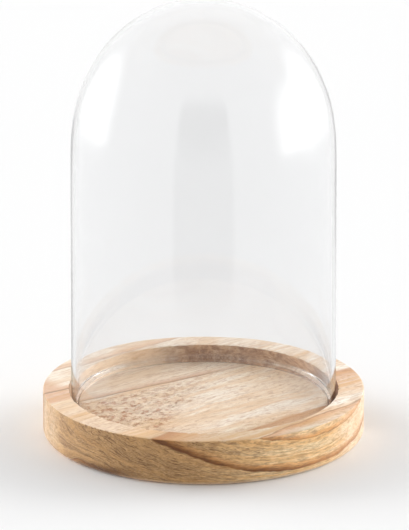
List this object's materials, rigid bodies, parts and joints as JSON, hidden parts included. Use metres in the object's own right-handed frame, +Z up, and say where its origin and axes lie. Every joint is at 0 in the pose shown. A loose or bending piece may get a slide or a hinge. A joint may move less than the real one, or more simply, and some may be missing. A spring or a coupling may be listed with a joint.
{
  "type": "bell jar",
  "caption": "Clear glass dome with a rounded top that lifts off a round turned wooden base, standing in the flat recess cut in its top face.",
  "frame": {"origin": "centre of the base's underside, on the surface that the object stands on", "axes": "+Z up, along the common axis of the base, the recess and the dome; X and Y are free, because every shape is turned about Z, and the wood's grain runs about 40 degrees from +X towards +Y"},
  "size_m": [0.1, 0.1, 0.14],
  "materials": {
    "glass": "clear blown glass, polished, colourless",
    "wood": "pale open-grained wood, sanded and left unvarnished, with brown growth rings"
  },
  "bodies": {
    "base": {"wood_base": "wood"},
    "dome": {"glass_dome": "glass"}
  },
  "joints": [
    {"name": "dome_lift", "type": "slide", "parent": "base", "child": "dome", "axis": [0, 0, 1], "range_m": [0, 0.15]}
  ]
}
